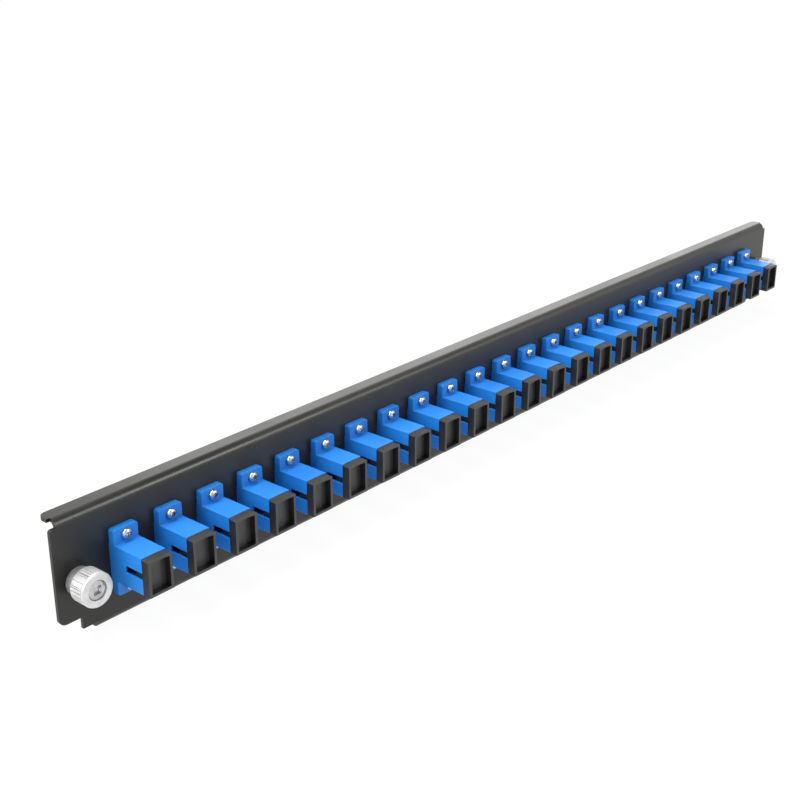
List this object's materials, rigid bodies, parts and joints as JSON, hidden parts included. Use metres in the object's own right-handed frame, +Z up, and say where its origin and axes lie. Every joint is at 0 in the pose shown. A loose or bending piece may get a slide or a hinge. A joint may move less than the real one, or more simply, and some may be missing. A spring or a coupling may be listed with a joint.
{
  "type": "splice box front panel",
  "caption": "Folded black sheet-steel front panel with a row of blue keyed fibre couplers, black dust caps and a captive knurled thumb screw at each end.",
  "frame": {"origin": "on the panel's rear face, midway along its length, at the height of the coupler row", "axes": "+X along the panel to the right seen from the front, -Y out of the front, +Z up"},
  "size_m": [0.4418, 0.0316, 0.0407],
  "materials": {
    "black_sheet": "satin powder coat",
    "blue_housing": "moulded, semi-matte",
    "black_cap": "soft moulded, matte",
    "bright_steel": "bright nickel",
    "bright_knob": "turned, knurled",
    "spring_steel": "drawn wire"
  },
  "bodies": {
    "panel": {"front_panel": "black_sheet", "coupler_screws": "bright_steel", "coupler_01": "blue_housing", "coupler_02": "blue_housing", "coupler_03": "blue_housing", "coupler_04": "blue_housing", "coupler_05": "blue_housing", "coupler_06": "blue_housing", "coupler_07": "blue_housing", "coupler_08": "blue_housing", "coupler_09": "blue_housing", "coupler_10": "blue_housing", "coupler_11": "blue_housing", "coupler_12": "blue_housing", "coupler_13": "blue_housing", "coupler_14": "blue_housing", "coupler_15": "blue_housing", "coupler_16": "blue_housing", "coupler_17": "blue_housing", "coupler_18": "blue_housing", "coupler_19": "blue_housing", "coupler_20": "blue_housing", "coupler_21": "blue_housing", "coupler_22": "blue_housing", "coupler_23": "blue_housing", "coupler_24": "blue_housing", "left_screw_ferrule": "bright_steel", "right_screw_ferrule": "bright_steel"},
    "cap_01": {"dust_cap_01": "black_cap"},
    "cap_02": {"dust_cap_02": "black_cap"},
    "cap_03": {"dust_cap_03": "black_cap"},
    "cap_04": {"dust_cap_04": "black_cap"},
    "cap_05": {"dust_cap_05": "black_cap"},
    "cap_06": {"dust_cap_06": "black_cap"},
    "cap_07": {"dust_cap_07": "black_cap"},
    "cap_08": {"dust_cap_08": "black_cap"},
    "cap_09": {"dust_cap_09": "black_cap"},
    "cap_10": {"dust_cap_10": "black_cap"},
    "cap_11": {"dust_cap_11": "black_cap"},
    "cap_12": {"dust_cap_12": "black_cap"},
    "cap_13": {"dust_cap_13": "black_cap"},
    "cap_14": {"dust_cap_14": "black_cap"},
    "cap_15": {"dust_cap_15": "black_cap"},
    "cap_16": {"dust_cap_16": "black_cap"},
    "cap_17": {"dust_cap_17": "black_cap"},
    "cap_18": {"dust_cap_18": "black_cap"},
    "cap_19": {"dust_cap_19": "black_cap"},
    "cap_20": {"dust_cap_20": "black_cap"},
    "cap_21": {"dust_cap_21": "black_cap"},
    "cap_22": {"dust_cap_22": "black_cap"},
    "cap_23": {"dust_cap_23": "black_cap"},
    "cap_24": {"dust_cap_24": "black_cap"},
    "left_spring": {"left_screw_spring": "spring_steel"},
    "left_screw": {"left_thumb_knob": "bright_knob", "left_thumb_screw": "bright_steel"},
    "right_spring": {"right_screw_spring": "spring_steel"},
    "right_screw": {"right_thumb_knob": "bright_knob", "right_thumb_screw": "bright_steel"}
  },
  "joints": [
    {"name": "cap_01_pull", "type": "slide", "parent": "panel", "child": "cap_01", "axis": [0, -1, 0], "range_m": [0, 0.012]},
    {"name": "cap_02_pull", "type": "slide", "parent": "panel", "child": "cap_02", "axis": [0, -1, 0], "range_m": [0, 0.012]},
    {"name": "cap_03_pull", "type": "slide", "parent": "panel", "child": "cap_03", "axis": [0, -1, 0], "range_m": [0, 0.012]},
    {"name": "cap_04_pull", "type": "slide", "parent": "panel", "child": "cap_04", "axis": [0, -1, 0], "range_m": [0, 0.012]},
    {"name": "cap_05_pull", "type": "slide", "parent": "panel", "child": "cap_05", "axis": [0, -1, 0], "range_m": [0, 0.012]},
    {"name": "cap_06_pull", "type": "slide", "parent": "panel", "child": "cap_06", "axis": [0, -1, 0], "range_m": [0, 0.012]},
    {"name": "cap_07_pull", "type": "slide", "parent": "panel", "child": "cap_07", "axis": [0, -1, 0], "range_m": [0, 0.012]},
    {"name": "cap_08_pull", "type": "slide", "parent": "panel", "child": "cap_08", "axis": [0, -1, 0], "range_m": [0, 0.012]},
    {"name": "cap_09_pull", "type": "slide", "parent": "panel", "child": "cap_09", "axis": [0, -1, 0], "range_m": [0, 0.012]},
    {"name": "cap_10_pull", "type": "slide", "parent": "panel", "child": "cap_10", "axis": [0, -1, 0], "range_m": [0, 0.012]},
    {"name": "cap_11_pull", "type": "slide", "parent": "panel", "child": "cap_11", "axis": [0, -1, 0], "range_m": [0, 0.012]},
    {"name": "cap_12_pull", "type": "slide", "parent": "panel", "child": "cap_12", "axis": [0, -1, 0], "range_m": [0, 0.012]},
    {"name": "cap_13_pull", "type": "slide", "parent": "panel", "child": "cap_13", "axis": [0, -1, 0], "range_m": [0, 0.012]},
    {"name": "cap_14_pull", "type": "slide", "parent": "panel", "child": "cap_14", "axis": [0, -1, 0], "range_m": [0, 0.012]},
    {"name": "cap_15_pull", "type": "slide", "parent": "panel", "child": "cap_15", "axis": [0, -1, 0], "range_m": [0, 0.012]},
    {"name": "cap_16_pull", "type": "slide", "parent": "panel", "child": "cap_16", "axis": [0, -1, 0], "range_m": [0, 0.012]},
    {"name": "cap_17_pull", "type": "slide", "parent": "panel", "child": "cap_17", "axis": [0, -1, 0], "range_m": [0, 0.012]},
    {"name": "cap_18_pull", "type": "slide", "parent": "panel", "child": "cap_18", "axis": [0, -1, 0], "range_m": [0, 0.012]},
    {"name": "cap_19_pull", "type": "slide", "parent": "panel", "child": "cap_19", "axis": [0, -1, 0], "range_m": [0, 0.012]},
    {"name": "cap_20_pull", "type": "slide", "parent": "panel", "child": "cap_20", "axis": [0, -1, 0], "range_m": [0, 0.012]},
    {"name": "cap_21_pull", "type": "slide", "parent": "panel", "child": "cap_21", "axis": [0, -1, 0], "range_m": [0, 0.012]},
    {"name": "cap_22_pull", "type": "slide", "parent": "panel", "child": "cap_22", "axis": [0, -1, 0], "range_m": [0, 0.012]},
    {"name": "cap_23_pull", "type": "slide", "parent": "panel", "child": "cap_23", "axis": [0, -1, 0], "range_m": [0, 0.012]},
    {"name": "cap_24_pull", "type": "slide", "parent": "panel", "child": "cap_24", "axis": [0, -1, 0], "range_m": [0, 0.012]},
    {"name": "left_screw_push", "type": "slide", "parent": "panel", "child": "left_spring", "axis": [0, 1, 0], "range_m": [0, 0.0028], "stiffness_N_per_m": 600, "springref_m": -0.003, "deforming": ["left_screw_spring"]},
    {"name": "left_screw_turn", "type": "hinge", "parent": "left_spring", "child": "left_screw", "pos_m": [-0.21315, 0, -0.00105], "axis": [0, 1, 0], "continuous": true},
    {"name": "right_screw_push", "type": "slide", "parent": "panel", "child": "right_spring", "axis": [0, 1, 0], "range_m": [0, 0.0028], "stiffness_N_per_m": 600, "springref_m": -0.003, "deforming": ["right_screw_spring"]},
    {"name": "right_screw_turn", "type": "hinge", "parent": "right_spring", "child": "right_screw", "pos_m": [0.21315, 0, -0.00105], "axis": [0, 1, 0], "continuous": true}
  ]
}
